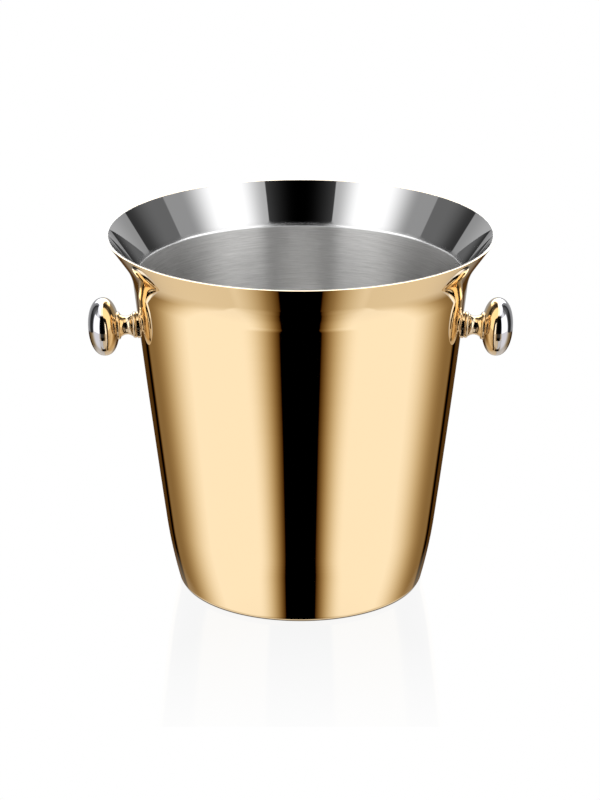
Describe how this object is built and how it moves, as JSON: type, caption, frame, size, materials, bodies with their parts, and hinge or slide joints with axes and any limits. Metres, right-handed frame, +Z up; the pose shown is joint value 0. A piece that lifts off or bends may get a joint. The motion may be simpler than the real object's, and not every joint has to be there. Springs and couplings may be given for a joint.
{
  "type": "champagne bucket",
  "caption": "Tapered double-walled champagne bucket with a flared rim and a mushroom knob on each side, gold outside and steel inside.",
  "frame": {"origin": "middle of the base, on the surface the bucket stands on", "axes": "+Z up along the bucket's axis of symmetry, +X through the right knob"},
  "size_m": [0.2312, 0.2104, 0.2],
  "materials": {
    "gold_plate": "mirror-polished yellow gold plate",
    "liner_steel": "satin, brushed round the axis; the flare is mirror-polished",
    "chrome_plate": "mirror-polished",
    "screw_steel": "plain zinc-bright steel"
  },
  "bodies": {
    "root": {"outer_shell": "gold_plate", "inner_liner": "liner_steel", "right_knob_cap": "chrome_plate", "right_knob_back": "gold_plate", "right_knob_spool": "gold_plate", "right_wall_plate": "gold_plate", "right_screw_washer": "screw_steel", "right_knob_screw": "screw_steel", "left_knob_cap": "chrome_plate", "left_knob_back": "gold_plate", "left_knob_spool": "gold_plate", "left_wall_plate": "gold_plate", "left_screw_washer": "screw_steel", "left_knob_screw": "screw_steel"}
  },
  "joints": []
}
